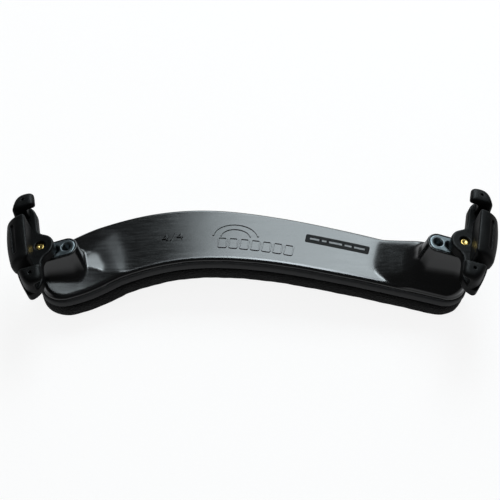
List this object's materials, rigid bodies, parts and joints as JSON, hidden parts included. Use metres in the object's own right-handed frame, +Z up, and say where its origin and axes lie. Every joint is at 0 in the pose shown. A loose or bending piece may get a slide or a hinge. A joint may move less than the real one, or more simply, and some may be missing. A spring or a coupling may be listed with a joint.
{
  "type": "violin shoulder rest",
  "caption": "Arched violin shoulder rest with a foam pad and, at each end, a clawed fork on a threaded stem that screws into a metal insert.",
  "frame": {"origin": "middle of the bounding box's footprint, at the foam pad's lowest point", "axes": "+X along the bridge to the right end, +Y away from the player to the rear, +Z up towards the violin"},
  "size_m": [0.243, 0.0638, 0.0535],
  "materials": {
    "shell": "glossy moulded",
    "carrier": "fine satin",
    "foam": "open-cell foam",
    "label": "printed film",
    "insert": "satin",
    "stem": "turned",
    "fork": "satin moulded",
    "grip": "satin rubber"
  },
  "bodies": {
    "base": {"base_shell": "shell", "left_pedestal": "shell", "right_pedestal": "shell", "pad_carrier": "carrier", "foam_pad": "foam", "info_label": "label", "left_insert": "insert", "right_insert": "insert"},
    "left_stem": {"left_stem": "stem"},
    "right_stem": {"right_stem": "stem"},
    "left_fork": {"left_fork": "fork", "left_rear_claw_grip": "grip", "left_front_claw_grip": "grip", "left_middle_grip": "grip"},
    "right_fork": {"right_fork": "fork", "right_rear_claw_grip": "grip", "right_front_claw_grip": "grip", "right_middle_grip": "grip"}
  },
  "joints": [
    {"name": "left_height", "type": "slide", "parent": "base", "child": "left_stem", "axis": [-0.2588, 0, 0.9659], "range_m": [0, 0.0064]},
    {"name": "left_turn", "type": "hinge", "parent": "left_stem", "child": "left_fork", "pos_m": [-0.10378, -0.00119, 0.0341], "axis": [-0.2588, 0, 0.9659], "range_deg": [0, 2880]},
    {"name": "right_height", "type": "slide", "parent": "base", "child": "right_stem", "axis": [0.2588, 0, 0.9659], "range_m": [0, 0.0064]},
    {"name": "right_turn", "type": "hinge", "parent": "right_stem", "child": "right_fork", "pos_m": [0.10378, -0.00201, 0.03879], "axis": [0.2588, 0, 0.9659], "range_deg": [0, 2880]}
  ],
  "couplings": [
    {"joint": "left_height", "follows": "left_turn", "m_per_rad": 0.00012732},
    {"joint": "right_height", "follows": "right_turn", "m_per_rad": 0.00012732}
  ]
}
